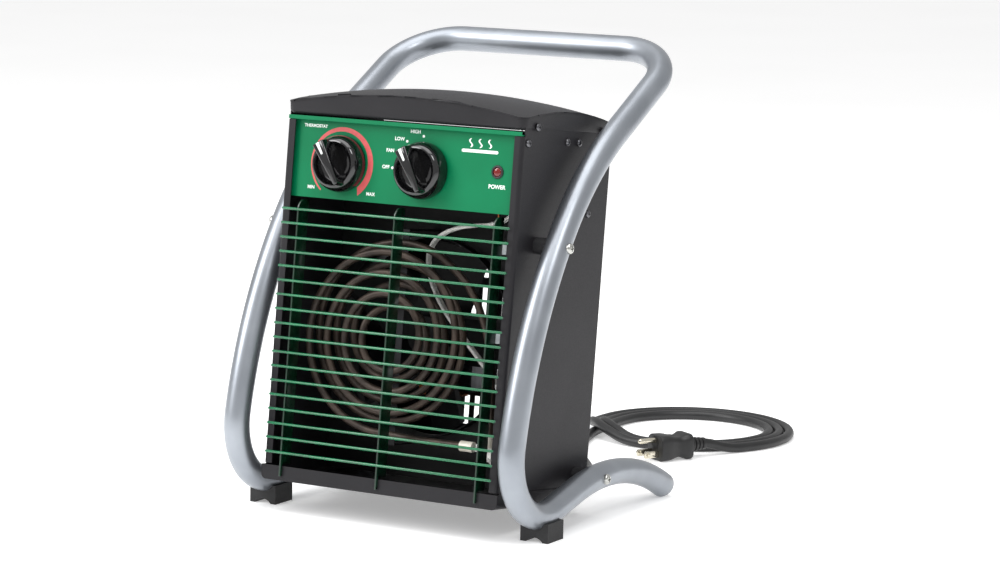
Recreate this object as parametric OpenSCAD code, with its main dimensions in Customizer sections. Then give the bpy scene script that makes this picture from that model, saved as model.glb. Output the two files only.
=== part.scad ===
// Portable fan heater: a sheet-steel body with a tubular element and an axial fan,
// leaning back in a bent-tube stand whose top is the carrying handle.
// Millimetres. +Z up, the front faces -Y, +X is the viewer's right.
// The origin is on the floor, under the middle of the stand.

/* [Body] */
// Width over the side panels
body_w = 228; // [190:1:280]
// Depth from the front flanges to the back panel
body_d = 152; // [150:1:190]
// Height from the tray's underside to the cover's lower edge
body_h = 308; // [300:1:380]
// Angle that the body leans back
body_tilt = 6.25; // [3:0.25:9]
// Height of the body's front lower edge above the floor
body_lift = 29; // [27:1:45]
// Distance of the body's front behind the front of the stand
body_setback = 21.4; // [16:0.2:40]
// Thickness of the sheet steel
sheet = 1; // [0.6:0.1:1.4]
// Width of the flanges down each side of the front
flange_w = 8; // [6:0.5:14]
// Outer radius where a side panel folds into its front flange
fold_r = 3.5; // [2:0.5:6]
// Height of the base tray's lips
tray_h = 12.5; // [9:0.5:20]
// Wall of the base tray
tray_wall = 1.2; // [0.8:0.1:2]
// Radius along the tray's lower side edges
tray_r = 5; // [3:0.5:8]

/* [Cover] */
// Wall of the domed cover
cover_wall = 1.2; // [0.8:0.1:2]
// Height of the cover above its lower edge, in the middle
cover_rise = 30; // [24:1:45]
// How far the cover's crown falls towards its long sides
crown_drop = 10.57; // [2:0.01:20]
// Radius of the dome from front to back
dome_along = 380; // [300:10:1500]
// Radius of the cover's upright corners
cover_corner = 5; // [3:0.5:10]

/* [Controls] */
// Height of the control panel
panel_h = 68; // [66:1:90]
// How far the panel's face lies behind the flanges
panel_recess = 4.5; // [3:0.5:8]
// Diameter of both knobs
knob_d = 48; // [38:1:54]
// How far a knob stands out of the panel
knob_h = 24; // [20:1:32]
// Sideways place of the thermostat knob
thermostat_x = -60; // [-70:1:-50]
// Sideways place of the mode knob
mode_x = 19.5; // [15:0.5:30]
// Height of both knobs below the cover's edge
knob_drop = 38; // [30:1:40]
// Pointer angle of the thermostat knob, clockwise from the top
thermostat_pointer = -32; // [-140:1:140]
// Pointer angle of the mode knob, clockwise from the top
mode_pointer = -30; // [-90:1:0]
// Diameter of the control shafts
shaft_d = 6; // [5:0.5:8]
// Radial clearance of a shaft in its bushing
running_gap = 0.05; // [0.02:0.01:0.1]
// Sideways place of the power lamp
lamp_x = 90; // [80:1:98]

/* [Grille] */
// Diameter of the front wires
wire_d = 2.6; // [2:0.1:3]
// Height of the lowest wire
first_wire = 24.2; // [20:0.2:30]
// Height from wire to wire
wire_pitch = 12.07; // [9:0.01:12.5]
// How far the wires stand out in front of the flanges
wire_stand = 6; // [4.5:0.5:9]
// Depth of the upright strips behind the wires
strip_depth = 15; // [8:1:16]
// Thickness of the upright strips
strip_t = 1.6; // [1:0.1:2.5]

/* [Fan and element] */
// Sideways place of the fan's axis
air_x = -18; // [-22:1:22]
// How far the fan's axis is above the middle of the opening
air_rise = 8; // [2:1:12]
// Radius of the fan blades
fan_r = 82; // [60:1:84]
// Number of fan blades
blade_count = 5; // [3:1:7]
// Pitch of the blades
blade_pitch = 28; // [15:1:35]
// Diameter of the motor shaft
motor_shaft_d = 5; // [4:0.5:8]
// Diameter of the element's sheath
sheath_d = 6.4; // [5:0.2:8]
// Outer radius of the element's spiral
spiral_r = 80; // [60:1:81]
// Spacing of the spiral's turns
spiral_pitch = 17.5; // [12:0.5:18]

/* [Stand] */
// Outer diameter of the tube
tube_d = 22; // [16:0.5:26]
// Wall of the tube
tube_wall = 1.5; // [1:0.1:2.5]
// Gap between the tube and the body's sides
side_gap = 8.5; // [6:0.5:16]
// Bend radius of the front feet
foot_bend = 54; // [45:1:70]
// Slope of the leg where the foot bend ends, from level
leg_start = 78; // [72:1:84]
// Slope of the leg between its two curves
leg_middle = 52; // [48:1:60]
// Slope of the straight top of the leg
leg_top = 28.5; // [20:0.5:40]
// Radius of the leg's lower curve
leg_lower_r = 415; // [380:5:460]
// Radius of the leg's upper curve
leg_upper_r = 270; // [240:5:320]
// Length of the straight top of the leg
leg_straight = 77; // [60:1:110]
// Bend radius of the handle's corners
handle_bend = 53; // [35:1:70]
// Slope of the tube as it rises behind the front foot
tail_rise = 13.5; // [8:0.5:16]
// Straight length behind the front foot
tail_run = 40; // [30:1:60]
// Radius of the hump in the tail
tail_r = 227; // [200:1:260]
// Slope of the tail's end as it comes down
tail_fall = 28.5; // [26:0.5:34]

/* [Hidden] */
$fn = 48;
hull_fn = 32;
gap = 0.3;
cut = 1;

// Stand, in the plane of one side: points are [y, z], slopes are degrees from +Y
tube_r = tube_d / 2;
seam_step = 0.12;
seam_lap = 0.8;
tube_x = body_w / 2 + side_gap + tube_r;
// Height of the tube's centre over the front foot, so that the tail's end meets the floor
foot_z = tail_r * (cos(tail_rise) - cos(tail_fall)) + tube_r * cos(tail_fall)
       - foot_bend * (1 - cos(tail_rise)) - tail_run * sin(tail_rise);
// A right-hand bend, where the slope falls, and a left-hand one, where it grows
function falling_centre(p, a, r) = p + r * [sin(a), -cos(a)];
function falling_point(c, a, r) = c + r * [-sin(a), cos(a)];
function rising_point(c, a, r) = c + r * [sin(a), -cos(a)];
function along(p, a, len) = p + len * [cos(a), sin(a)];
// Reach of the handle behind the foot, worked out from a foot at y = 0
bend_0 = [0, foot_bend];
leg_reach = falling_point(bend_0, leg_start, foot_bend)
          + leg_lower_r * [sin(leg_start) - sin(leg_middle), cos(leg_middle) - cos(leg_start)]
          + leg_upper_r * [sin(leg_middle) - sin(leg_top), cos(leg_top) - cos(leg_middle)]
          + (leg_straight + handle_bend) * [cos(leg_top), sin(leg_top)];
foot_y = (foot_bend - leg_reach[0]) / 2;
foot_low = [foot_y, foot_z];
bend_centre = foot_low + bend_0;
leg_a = falling_point(bend_centre, leg_start, foot_bend);
lower_centre = falling_centre(leg_a, leg_start, leg_lower_r);
leg_b = falling_point(lower_centre, leg_middle, leg_lower_r);
upper_centre = falling_centre(leg_b, leg_middle, leg_upper_r);
leg_c = falling_point(upper_centre, leg_top, leg_upper_r);
leg_d = along(leg_c, leg_top, leg_straight);
handle_at = along(leg_d, leg_top, handle_bend);
tail_a = rising_point(bend_centre, tail_rise, foot_bend);
tail_b = along(tail_a, tail_rise, tail_run);
hump_centre = falling_centre(tail_b, tail_rise, tail_r);
tail_end = falling_point(hump_centre, -tail_fall, tail_r);
// The two screws on each side that hold the body, at set slopes of the tube
upper_fix = falling_point(lower_centre, 54.5, leg_lower_r);
lower_fix = falling_point(hump_centre, 4, tail_r);

// Body frame: y from the flanges' face to the back, z up from the tray's underside
body_y = foot_y - foot_bend - tube_r + body_setback;
half_w = body_w / 2;
inner_w = body_w - 2 * sheet;
tray_gap = 1.3;
flange_top = body_h - 3.8;
wall_foot = tray_r + 1;
wall_top = body_h + 8;
back_y = body_d - sheet;
back_flange = 12;

// Screws
screw_d = 3.5;
head_d = 6.6;
head_h = 2.2;
frame_screw_d = 4;
frame_head_d = 8.5;
frame_head_h = 3;

// Controls
panel_foot = body_h - panel_h;
panel_tab = 13;
knob_z = body_h - knob_drop;
knob_gap = 0.8;
bushing_d = shaft_d + 3;
control_case = 36;
lamp_z = body_h - 34;
bezel_d = 11;
lens_d = 7.5;

// Cover
cover_gap = 0.3;
cover_lap = cover_gap + cover_wall;
cover_top = body_h + cover_rise;
dome_across = (half_w * half_w + crown_drop * crown_drop) / (2 * crown_drop);

// Inside
brace_y = 66;
brace_depth = 36;
shield_z = body_h - 59;
air_z = panel_foot / 2 + air_rise;
shroud_y = 96;
collar_gap = 3;
collar_r = fan_r + collar_gap;
collar_front = 86;
collar_depth = 26;
blade_depth = 22;
blade_y = 88;
hub_d = 34;
motor_y = 118;
motor_t = 18;
rotor_d = 24;
rotor_gap = 0.5;
motor_w = 64;
motor_h = 58;
mount_y = 141;
mount_reach = 54;
spiral_y = 26;
layer_gap = 14;
sheath_sides = 8;
ring_step = 15;

// Mains cord
cord_d = 9;
gland_x = 60;
gland_z = 34;
gland_len = 38;
// Route of the cord from the gland to the coil, and from the coil to the plug
cord_lead_route = [
    [60, 64, 42], [60, 80, 40], [60, 98, 35], [58, 116, 27], [54, 134, 17.5], [47, 152, 9.5],
    [37, 170, 5.5], [25, 188, 4.5], [9, 210, 4.5], [-7, 234, 4.5], [-20, 258, 4.5],
    [-32, 286, 4.5], [-42, 314, 4.5], [-49, 343, 4.5], [-52, 372, 4.5], [-53, 400, 4.5]
];
cord_tail_route = [[105, 351, 4.5], [98, 339, 5], [91, 327, 7.5], [86, 318, 10.5], [82, 311, 12]];
coil_at = [20, 400];
coil_inner = 67;
coil_outer = 103;
coil_h = 18;
plug_at = [82, 311, 12];
plug_turn = -120;
plug_neck = 20;
plug_len = 34;
plug_w = 27;
plug_h = 24;

// ---- Placing helpers ----

module in_body() {
    translate([0, body_y, body_lift]) rotate([-body_tilt, 0, 0]) children();
}

module both_sides() {
    children();
    mirror([1, 0, 0]) children();
}

// Extrudes a flat (x, z) outline backwards from y
module back_from(y, depth) {
    translate([0, y + depth, 0]) rotate([90, 0, 0]) linear_extrude(depth) children();
}

module rod_y(x, z, y, len, d) {
    translate([x, y, z]) rotate([-90, 0, 0]) cylinder(h = len, d = d);
}

module rod_x(x, y, z, len, d) {
    translate([x, y, z]) rotate([0, 90, 0]) cylinder(h = len, d = d);
}

module box(low, high) {
    translate(low) cube(high - low);
}

// ---- Sweeping a round tube along a list of points ----

function unit(v) = v / norm(v);
function heading(p, i) = unit(p[min(i + 1, len(p) - 1)] - p[max(i - 1, 0)]);
function ring(c, t, r, n, up) =
    let (side = unit(cross(t, up)), top = cross(side, t))
    [for (k = [0:n - 1]) c + r * (cos(360 * k / n) * side + sin(360 * k / n) * top)];

module swept_tube(p, r, n, up) {
    rings = [for (i = [0:len(p) - 1]) ring(p[i], heading(p, i), r, n, up)];
    points = [for (g = rings) each g];
    last = (len(p) - 1) * n;
    faces = concat(
        [[for (k = [n - 1:-1:0]) k]],
        [[for (k = [0:n - 1]) last + k]],
        [for (i = [0:len(p) - 2]) for (k = [0:n - 1])
            [i * n + k, i * n + (k + 1) % n, (i + 1) * n + (k + 1) % n, (i + 1) * n + k]]
    );
    polyhedron(points, [for (f = faces) [for (j = [len(f) - 1:-1:0]) f[j]]]);
}

// ---- Stand ----

// Every other length of tube is a little thinner and runs a short way into its neighbours
module tube_section(grow, hollow, seam) {
    difference() {
        circle(r = tube_r + grow - seam * seam_step);
        if (hollow) circle(r = tube_r - tube_wall + seam * seam_step);
    }
}

// A bend in the side plane about [y, z], from one angle round to another
module side_bend(c, r, from, sweep, grow, hollow, seam) {
    lap = seam * seam_lap / r * 180 / PI;
    translate([tube_x, c[0], c[1]]) rotate([90, 0, 90]) rotate([0, 0, from - lap])
        rotate_extrude(angle = sweep + 2 * lap, $fn = 96) translate([r, 0])
            tube_section(grow, hollow, seam);
}

module side_straight(p, slope, len) {
    translate([tube_x, p[0], p[1]]) rotate([slope - 90, 0, 0]) translate([0, 0, -seam_lap])
        linear_extrude(len + 2 * seam_lap) tube_section(0, true, 1);
}

module foot_curve(grow, hollow) {
    side_bend(bend_centre, foot_bend, leg_start + 90, 180 + tail_rise - leg_start,
              grow, hollow, 0);
}

module leg_curve(grow, hollow) {
    side_bend(lower_centre, leg_lower_r, leg_middle + 90, leg_start - leg_middle,
              grow, hollow, 1);
}

module hump_curve(grow, hollow) {
    side_bend(hump_centre, tail_r, 90 - tail_fall, tail_fall + tail_rise, grow, hollow, 0);
}

module stand_side() {
    foot_curve(0, true);
    leg_curve(0, true);
    side_bend(upper_centre, leg_upper_r, leg_top + 90, leg_middle - leg_top, 0, true, 0);
    side_straight(leg_c, leg_top, leg_straight);
    translate([tube_x - handle_bend, leg_d[0], leg_d[1]]) rotate([leg_top, 0, 0])
        rotate_extrude(angle = 90, $fn = 96) translate([handle_bend, 0])
            tube_section(0, true, 0);
    side_straight(tail_a, tail_rise, tail_run);
    hump_curve(0, true);
}

module stand_holes(d) {
    for (p = [upper_fix, lower_fix]) rod_x(half_w - 10, p[0], p[1], tube_d + side_gap + 20, d);
}

foot_stud_d = 5;

module stand_tube() color("#aab2b6") {
    difference() {
        union() {
            both_sides() stand_side();
            translate([handle_bend - tube_x - seam_lap, handle_at[0], handle_at[1]])
                rotate([0, 90, 0]) linear_extrude(2 * (tube_x - handle_bend + seam_lap))
                    tube_section(0, true, 1);
        }
        both_sides() stand_holes(frame_screw_d + 0.5);
        both_sides() translate([tube_x, foot_y, 0]) cylinder(h = foot_z, d = foot_stud_d);
    }
}

plug_depth = 14;

module tube_end_plugs() color("#1c1c1e") both_sides()
    translate([tube_x, tail_end[0], tail_end[1]]) rotate([-tail_fall - 90, 0, 0])
        translate([0, 0, -plug_depth]) cylinder(h = plug_depth, r = tube_r - tube_wall);

saddle_w = tube_d + 4;
saddle_front = 14;
saddle_back = 12;
saddle_top = 4;
arch_r = 10;
arch_h = 4;

module foot() {
    difference() {
        box([tube_x - saddle_w / 2, foot_y - saddle_front, 0],
            [tube_x + saddle_w / 2, foot_y + saddle_back, foot_z - saddle_top]);
        foot_curve(0.05, false);
        rod_y(tube_x, arch_h - arch_r, foot_y - saddle_front - cut,
              saddle_front + saddle_back + 2 * cut, 2 * arch_r);
    }
    translate([tube_x, foot_y, arch_h + cut])
        cylinder(h = foot_z - tube_r + tube_wall + 3 - arch_h - cut, d = foot_stud_d);
}

module right_foot() color("#1d1d1f") foot();

module left_foot() color("#1d1d1f") mirror([1, 0, 0]) foot();

spacer_d = 14;

// A spacer with a saddle end against the tube, whose curve there is the module's child
module spacer(p) {
    difference() {
        rod_x(half_w, p[0], p[1], side_gap + 2.5, spacer_d);
        children();
        rod_x(half_w - cut, p[0], p[1], side_gap + tube_d, frame_screw_d + 0.5);
    }
}

module stand_spacers() color("#242426") both_sides() {
    spacer(upper_fix) leg_curve(0.05, false);
    spacer(lower_fix) hump_curve(0.05, false);
}

module stand_screws() color("#c9c9c9") both_sides() for (p = [upper_fix, lower_fix]) {
    rod_x(half_w - 8, p[0], p[1], side_gap + tube_d + 8, frame_screw_d);
    rod_x(tube_x + tube_r, p[0], p[1], frame_head_h, frame_head_d);
}

// ---- Sheet-metal body ----

// A flat outline whose two lower corners are round
module round_foot_outline(w, h, r) {
    translate([-w / 2, r]) square([w, h - r]);
    translate([r - w / 2, 0]) square([w - 2 * r, r + 0.1]);
    for (s = [-1, 1]) translate([s * (w / 2 - r), r]) circle(r = r);
}

module base_tray() color("#2a2a2c") in_body() difference() {
    back_from(-tray_wall, body_d + 2 * tray_wall)
        round_foot_outline(body_w + 2 * tray_wall, tray_h, tray_r);
    back_from(0, body_d) translate([0, tray_wall])
        round_foot_outline(body_w, tray_h, tray_r - tray_wall);
}

// Places of the screws in one side panel, as [y, z]
side_spots = [
    [panel_recess + 4, body_h - 9],
    [brace_y + 8, body_h - 6],
    [brace_y + brace_depth - 8, body_h - 6],
    [shroud_y + 22, shield_z - 6]
];
back_spots = [
    [half_w - 6, body_h - 12], [half_w - 6, body_h / 2 + 36], [half_w - 6, 26],
    [-half_w + 6, body_h - 12], [-half_w + 6, body_h / 2 + 36], [-half_w + 6, 26]
];
cover_spots = [[20, body_h + 4.5], [body_d - 20, body_h + 4.5]];

module side_spot_holes(spots, d) {
    for (p = spots) rod_x(half_w - 6, p[0], p[1], 12, d);
}

module side_panel() {
    difference() {
        in_body() difference() {
            union() {
                box([half_w - sheet, fold_r, wall_foot], [half_w, back_y, wall_top]);
                translate([half_w - fold_r, fold_r, tray_h + tray_gap]) rotate([0, 0, -90])
                    rotate_extrude(angle = 90) translate([fold_r - sheet, 0])
                        square([sheet, flange_top - tray_h - tray_gap]);
                box([half_w - flange_w, 0, tray_h + tray_gap],
                    [half_w - fold_r, sheet, flange_top]);
                box([half_w - back_flange, back_y - sheet, tray_h + tray_gap],
                    [half_w - sheet / 2, back_y, flange_top]);
            }
            side_spot_holes(side_spots, screw_d);
            side_spot_holes(cover_spots, screw_d);
        }
        for (p = [upper_fix, lower_fix])
            rod_x(half_w - 6, p[0], p[1], 12, frame_screw_d);
        in_body() for (p = back_spots)
            rod_y(p[0], p[1], back_y - 2 * cut, 3 * cut, screw_d);
    }
}

module right_side_panel() color("#303032") side_panel();

module left_side_panel() color("#303032") mirror([1, 0, 0]) side_panel();

slot_w = 5;
slot_pitch = 10;
slot_rows = 5;
slot_row_pitch = 32;
slot_len = 25;
vent_r = 80;
mount_spots = [
    [air_x - mount_reach, air_z - 14], [air_x - mount_reach, air_z + 14],
    [air_x + mount_reach, air_z - 14], [air_x + mount_reach, air_z + 14]
];

// Whether a slot's far corner stays inside the round vent, clear of the mount's feet
function slot_fits(x, z) = norm([abs(x) + slot_w / 2, abs(z) + slot_len / 2]) < vent_r
    && !(abs(abs(x) - mount_reach) < 9 && abs(z) < 30);

module back_panel() color("#2c2c2e") in_body() difference() {
    box([-half_w + gap, back_y, tray_h + tray_gap], [half_w - gap, body_d, body_h]);
    for (i = [-7:7]) for (j = [-2:2])
        if (slot_fits(i * slot_pitch, j * slot_row_pitch))
            translate([air_x + i * slot_pitch - slot_w / 2, back_y - cut,
                       air_z + j * slot_row_pitch - slot_len / 2])
                cube([slot_w, sheet + 2 * cut, slot_len]);
    for (p = back_spots) rod_y(p[0], p[1], back_y - cut, sheet + 2 * cut, screw_d);
    for (p = mount_spots) rod_y(p[0], p[1], back_y - cut, sheet + 2 * cut, screw_d);
    rod_y(gland_x, gland_z, back_y - cut, sheet + 2 * cut, 16);
}

// The dome is a slice of a barrel: an arc along Y turned about an axis far below
module dome(grow) {
    translate([0, body_d / 2, cover_top - dome_across]) rotate([90, 0, 0])
        rotate_extrude($fn = 192) intersection() {
            translate([dome_across - dome_along, 0]) circle(r = dome_along + grow, $fn = 192);
            translate([dome_across - 60, -body_d]) square([60 + 2 * cut, 2 * body_d]);
        }
}

module upright_block(grow, z, h) {
    w = body_w + 2 * grow;
    d = body_d + 2 * grow;
    r = cover_corner - cover_lap + grow;
    translate([0, body_d / 2, z]) linear_extrude(h) {
        square([w - 2 * r, d], center = true);
        square([w, d - 2 * r], center = true);
        for (x = [-1, 1]) for (y = [-1, 1])
            translate([x * (w / 2 - r), y * (d / 2 - r)]) circle(r = r);
    }
}

module top_cover() color("#262628") in_body() difference() {
    intersection() {
        upright_block(cover_lap, body_h + gap, cover_rise);
        dome(0);
    }
    intersection() {
        upright_block(cover_gap, body_h - cut, cover_rise + 2 * cut);
        dome(-cover_wall);
    }
    both_sides() side_spot_holes(cover_spots, screw_d);
}

module screws_x(spots, seat, len) {
    for (p = spots) {
        rod_x(seat, p[0], p[1], head_h, head_d);
        rod_x(seat - len, p[0], p[1], len, screw_d);
    }
}

module cover_screws() color("#8a8a8a") in_body() both_sides()
    screws_x(cover_spots, half_w + cover_lap, 7);

module side_screws() color("#8a8a8a") in_body() both_sides() screws_x(side_spots, half_w, 7);

module screws_back(spots) {
    for (p = spots) {
        rod_y(p[0], p[1], body_d, head_h, head_d);
        rod_y(p[0], p[1], body_d - 8, 8, screw_d);
    }
}

module back_screws() color("#8a8a8a") in_body() screws_back(back_spots);

module mount_screws() color("#8a8a8a") in_body() screws_back(mount_spots);

// ---- Front: control panel and grille ----

fit_w = inner_w / 2 - gap;
lip_z = flange_top + 0.5;
lip_y = -sheet / 2;

module control_panel() color("#007a52") in_body() difference() {
    union() {
        box([-fit_w, panel_recess, panel_foot], [fit_w, panel_recess + sheet, lip_z + sheet]);
        box([-fit_w, panel_recess, panel_foot], [fit_w, panel_recess + 9, panel_foot + sheet]);
        both_sides() box([fit_w - sheet, panel_recess, panel_foot],
                         [fit_w, panel_recess + panel_tab, lip_z + sheet]);
        box([-fit_w, lip_y, lip_z], [fit_w, panel_recess + sheet, lip_z + sheet]);
        box([-fit_w, lip_y, lip_z], [fit_w, lip_y + sheet, body_h]);
    }
    for (x = [thermostat_x, mode_x])
        rod_y(x, knob_z, panel_recess - cut, sheet + 2 * cut, bushing_d);
    rod_y(lamp_x, lamp_z, panel_recess - cut, sheet + 2 * cut, bezel_d - 2);
    both_sides() side_spot_holes(side_spots, screw_d);
}

wire_y = wire_d / 2 - wire_stand;
wire_reach = half_w - 4;
strip_x = half_w - 19;
strip_y = wire_y + wire_d / 2 - 0.4;
strip_foot = 4;
strip_top = panel_foot - 2.4;
strip_round = min(8, strip_depth - 1);
wire_count = floor((strip_top - first_wire - wire_d) / wire_pitch) + 1;

module strip_outline() {
    low = tray_h + tray_gap;
    translate([strip_y, low]) square([strip_depth, strip_top - strip_round - low]);
    translate([strip_y + strip_round, low])
        square([strip_depth - strip_round, strip_top - low]);
    translate([strip_y + strip_round, strip_top - strip_round]) circle(r = strip_round);
    translate([strip_y, strip_foot]) square([-tray_wall - strip_y, low + cut - strip_foot]);
}

module front_grille() color("#0b6b45") in_body() {
    for (i = [0:wire_count - 1])
        rod_x(-wire_reach, wire_y, first_wire + i * wire_pitch, 2 * wire_reach, wire_d);
    for (x = [-strip_x, 0, strip_x])
        translate([x - strip_t / 2, 0, 0]) rotate([90, 0, 90]) linear_extrude(strip_t)
            strip_outline();
}

// ---- Inside: brace, shield, shroud ----

brace_tab = 12;

module cross_brace() color("#b4b8ba") in_body() difference() {
    union() {
        box([-fit_w, brace_y, body_h - sheet], [fit_w, brace_y + brace_depth, body_h]);
        both_sides() box([fit_w - sheet, brace_y, body_h - brace_tab],
                         [fit_w, brace_y + brace_depth, body_h]);
    }
    both_sides() side_spot_holes(side_spots, screw_d);
}

grommet_at = [78, 60];
grommet_d = 12;

module heat_shield() color("#b4b8ba") in_body() difference() {
    union() {
        box([-fit_w, panel_recess + panel_tab + cut, shield_z],
            [fit_w, back_y - sheet - gap, shield_z + sheet]);
        both_sides() box([fit_w - sheet, 32, shield_z - 10], [fit_w, 72, shield_z + sheet]);
    }
    translate([grommet_at[0], grommet_at[1], shield_z - cut])
        cylinder(h = sheet + 2 * cut, d = grommet_d);
}

module fan_shroud() color("#3a3a3c") in_body() difference() {
    union() {
        box([-fit_w, shroud_y, wall_foot], [fit_w, shroud_y + sheet, shield_z - gap]);
        rod_y(air_x, air_z, collar_front, collar_depth, 2 * (collar_r + sheet));
        both_sides() box([fit_w - sheet, shroud_y, shield_z - 20],
                         [fit_w, shroud_y + 30, shield_z - gap]);
    }
    rod_y(air_x, air_z, collar_front - cut, collar_depth + 2 * cut, 2 * collar_r);
    both_sides() side_spot_holes(side_spots, screw_d);
}

// ---- Heating element: one sheath, wound in to the middle and out again behind ----

front_turns = 3.25;
front_start = -95;
rear_finish = 60;
front_finish = front_start - 360 * front_turns;
rear_turns = (front_finish - rear_finish) / 360 + 7;
inner_r = spiral_r - spiral_pitch * front_turns;
cross_turns = 0.3;
function spiral_point(a, r, y) = [air_x + r * cos(a), y, air_z + r * sin(a)];
function step_back(t) = layer_gap * pow(sin(90 * min(1, t / cross_turns)), 2);
// Straight ends, counted from the spiral's centre as [x, z]
lead_in = [[80, -82], [62, -82], [44, -82], [26, -81.5], [10, -80.5]];
lead_out = [[54, 61], [67, 50], [78, 35], [87, 16], [93, -4], [96, -26], [98, -48], [98, -72]];
front_steps = round(360 * front_turns / ring_step);
rear_steps = round(360 * rear_turns / ring_step);
element_path = concat(
    [for (p = lead_in) [air_x + p[0], spiral_y, air_z + p[1]]],
    [for (i = [0:front_steps]) let (t = i / front_steps * front_turns)
        spiral_point(front_start - 360 * t, spiral_r - spiral_pitch * t, spiral_y)],
    [for (i = [1:rear_steps]) let (t = i / rear_steps * rear_turns)
        spiral_point(front_finish - 360 * t, inner_r + spiral_pitch * t,
                     spiral_y + step_back(t))],
    [for (p = lead_out) [air_x + p[0], spiral_y + layer_gap, air_z + p[1]]]
);
rear_y = spiral_y + layer_gap;
end_front = element_path[0];
end_rear = element_path[len(element_path) - 1];

module heating_element() color("#4a423c") in_body()
    swept_tube(element_path, sheath_d / 2, sheath_sides, [0, 1, 0]);

bracket_w = 10;
bracket_t = 1.2;
bracket_y = rear_y + sheath_d / 2 + gap;
bracket_reach = collar_r + sheet + 5;

module element_brackets() color("#8b8f90") in_body() {
    box([air_x - bracket_w / 2, bracket_y, air_z - bracket_reach],
        [air_x + bracket_w / 2, bracket_y + bracket_t, air_z + bracket_reach]);
    for (s = [-1, 1])
        box([air_x - bracket_w / 2, bracket_y, air_z + s * (bracket_reach - bracket_t / 2)
                - bracket_t / 2],
            [air_x + bracket_w / 2, shroud_y, air_z + s * (bracket_reach - bracket_t / 2)
                + bracket_t / 2]);
}

bushing_len = 12;
end_bushing_d = 9;

module element_bushings() color("#e8e4d8") in_body() {
    rod_x(end_front[0], end_front[1], end_front[2], bushing_len, end_bushing_d);
    translate([end_rear[0], end_rear[1], end_rear[2] - bushing_len])
        cylinder(h = bushing_len, d = end_bushing_d);
}

tab_len = 10;
tab_w = 6.3;
tab_t = 0.8;

module element_terminals() color("#d5d5d5") in_body() {
    translate([end_front[0] + bushing_len, end_front[1] - tab_t / 2, end_front[2] - tab_w / 2])
        cube([tab_len, tab_t, tab_w]);
    translate([end_rear[0] - tab_w / 2, end_rear[1] - tab_t / 2,
               end_rear[2] - bushing_len - tab_len])
        cube([tab_w, tab_t, tab_len]);
}

// ---- Fan and motor, on an axis along the body's depth ----

module at_fan(y) {
    translate([air_x, y, air_z]) rotate([-90, 0, 0]) children();
}

blade_chord = 56;
blade_t = 2;

module fan_blades() color("#161616") in_body() difference() {
    at_fan(blade_y) {
        cylinder(h = blade_depth, d = hub_d);
        intersection() {
            cylinder(h = blade_depth, r = fan_r, $fn = 96);
            for (i = [0:blade_count - 1]) rotate([0, 0, 360 * i / blade_count])
                translate([hub_d / 2 - 3, 0, blade_depth / 2]) rotate([blade_pitch, 0, 0])
                    translate([0, -blade_chord / 2, -blade_t / 2])
                        cube([fan_r, blade_chord, blade_t]);
        }
    }
    rod_y(air_x, air_z, blade_y - cut, blade_depth + 2 * cut, motor_shaft_d);
}

shaft_front = blade_y - 3;
shaft_back = mount_y - 1;

module motor_shaft() color("#c4c8ca") in_body()
    rod_y(air_x, air_z, shaft_front, shaft_back - shaft_front, motor_shaft_d);

module motor_rotor() color("#777777") in_body() difference() {
    rod_y(air_x, air_z, motor_y, motor_t, rotor_d);
    rod_y(air_x, air_z, motor_y - cut, motor_t + 2 * cut, motor_shaft_d);
}

motor_screw_x = 24;
limb_low = -46;
limb_high = -36;

module motor_core() color("#6f6f72") in_body() difference() {
    box([air_x - motor_w / 2, motor_y, air_z + limb_low],
        [air_x + motor_w / 2, motor_y + motor_t, air_z + 20]);
    box([air_x - 20, motor_y - cut, air_z + limb_high],
        [air_x + 20, motor_y + motor_t + cut, air_z - 17]);
    rod_y(air_x, air_z, motor_y - cut, motor_t + 2 * cut, rotor_d + 2 * rotor_gap);
    for (s = [-1, 1])
        rod_y(air_x + s * motor_screw_x, air_z, motor_y - cut, motor_t + 2 * cut, screw_d);
}

coil_wrap = 5.5;

module motor_coil() color("#a4552a") in_body() difference() {
    box([air_x - 16, motor_y - coil_wrap, air_z + limb_low - coil_wrap],
        [air_x + 16, motor_y + motor_t + coil_wrap, air_z + limb_high + coil_wrap]);
    box([air_x - 17, motor_y, air_z + limb_low],
        [air_x + 17, motor_y + motor_t, air_z + limb_high]);
}

plate_t = 1.5;
plate_off = 2.5;
bearing_len = 4.2;

// One end plate: a strap on two bosses, with the shaft's bearing in the middle
module end_plate(y, out) {
    strap_y = y + out * plate_off + (out < 0 ? -plate_t : 0);
    difference() {
        union() {
            box([air_x - 29, strap_y, air_z - 9], [air_x + 29, strap_y + plate_t, air_z + 9]);
            for (s = [-1, 1])
                rod_y(air_x + s * motor_screw_x, air_z, out < 0 ? y - plate_off : y,
                      plate_off, 8);
            rod_y(air_x, air_z, out < 0 ? y - 0.5 - bearing_len : y + 0.5, bearing_len, 14);
        }
        rod_y(air_x, air_z, y - 8, 16, motor_shaft_d + 2 * running_gap);
        for (s = [-1, 1]) rod_y(air_x + s * motor_screw_x, air_z, y - 8, 16, screw_d);
    }
}

module motor_end_plates() color("#9a9da0") in_body() {
    end_plate(motor_y, -1);
    end_plate(motor_y + motor_t, 1);
}

mount_half = 20;
mount_leg = mount_reach - 9;

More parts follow.
